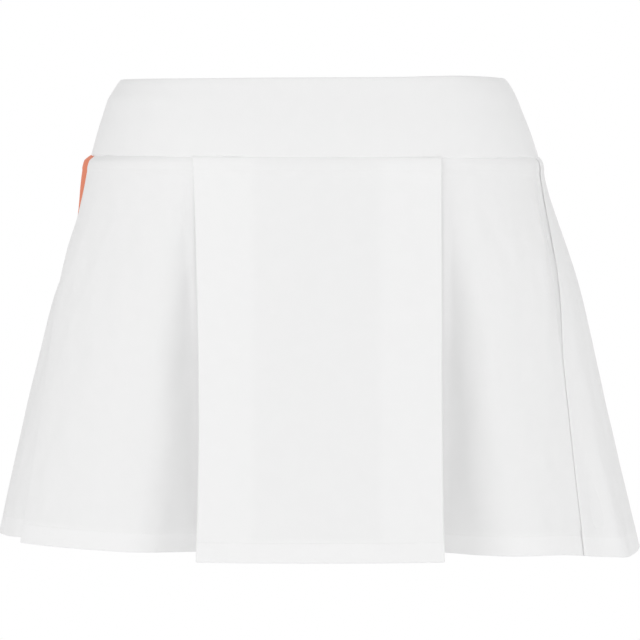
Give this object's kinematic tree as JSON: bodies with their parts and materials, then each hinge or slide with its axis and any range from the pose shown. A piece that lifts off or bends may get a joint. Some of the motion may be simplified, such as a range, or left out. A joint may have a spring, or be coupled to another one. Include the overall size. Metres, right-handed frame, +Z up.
{
  "type": "tennis skirt",
  "caption": "Flared tennis skirt on a wide stretch waistband, with a box pleat at centre front, a knife fold at each side and a contrast insert under one of them.",
  "frame": {"origin": "centre of the waist, half way down the waistband, where the wearer's waist holds the skirt", "axes": "+Z up, -Y towards the wearer's front, +X towards the wearer's left"},
  "size_m": [0.4483, 0.3024, 0.3307],
  "materials": {
    "waistband": "matt white double knit, fine and firm",
    "skirt_knit": "matt white stretch knit",
    "insert_knit": "matt coral-orange stretch knit"
  },
  "bodies": {
    "root": {"waistband_front": "waistband", "waistband_back": "waistband", "skirt_front": "skirt_knit", "skirt_back": "skirt_knit", "side_insert": "insert_knit"}
  },
  "joints": []
}
